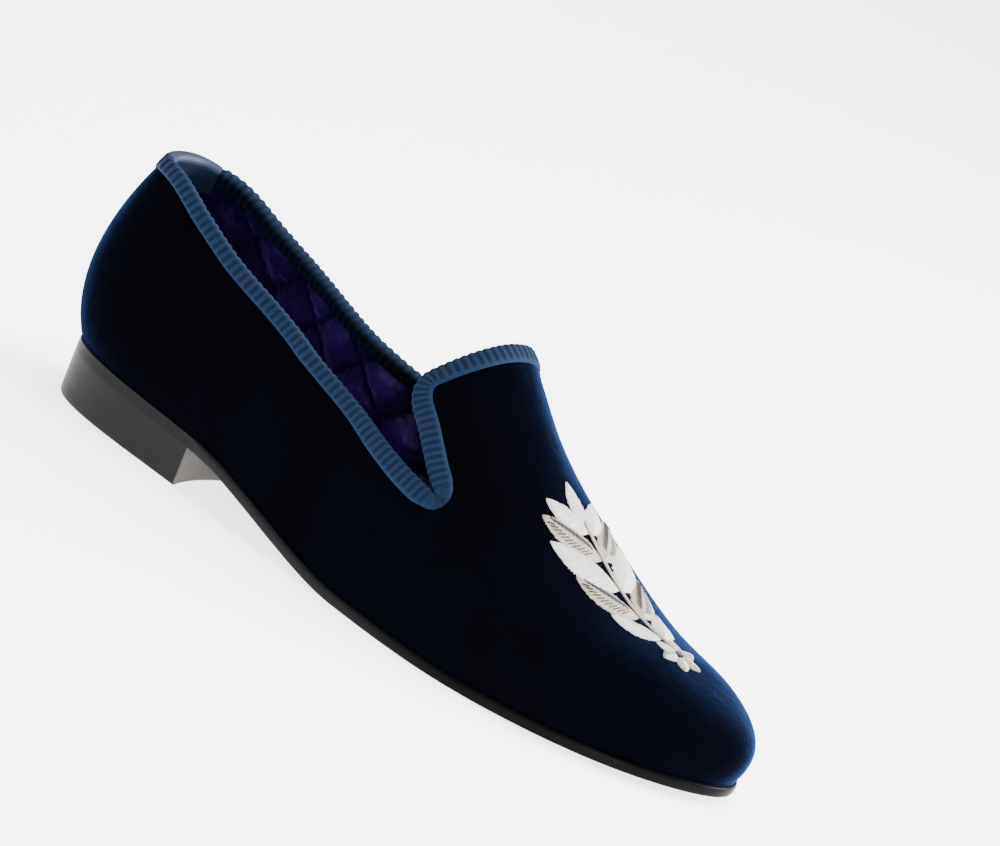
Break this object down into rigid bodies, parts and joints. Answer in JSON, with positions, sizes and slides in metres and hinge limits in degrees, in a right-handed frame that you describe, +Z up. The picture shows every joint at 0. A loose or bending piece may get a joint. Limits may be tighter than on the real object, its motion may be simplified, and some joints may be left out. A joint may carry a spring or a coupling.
{
  "type": "slipper loafer",
  "caption": "Navy velvet slipper loafer for the right foot with ribbed ribbon binding, a leather heel tab, a thin leather sole and a low heel.",
  "frame": {"origin": "on the floor under the middle of the shoe's outline, halfway along its length and halfway across its width", "axes": "+X runs from the heel to the toe, +Y to the inner side of the foot, +Z up from the floor"},
  "size_m": [0.2918, 0.0987, 0.0904],
  "materials": {
    "sole_leather": "polished black edge",
    "heel_block": "smooth black stacked leather",
    "insole_cloth": "deep purple satin",
    "velvet": "navy velvet",
    "ribbon": "ribbed navy ribbon",
    "tab_leather": "smooth navy leather"
  },
  "bodies": {
    "root": {"outsole": "sole_leather", "heel": "heel_block", "insole": "insole_cloth", "upper": "velvet", "collar_binding": "ribbon", "heel_tab": "tab_leather"}
  },
  "joints": []
}
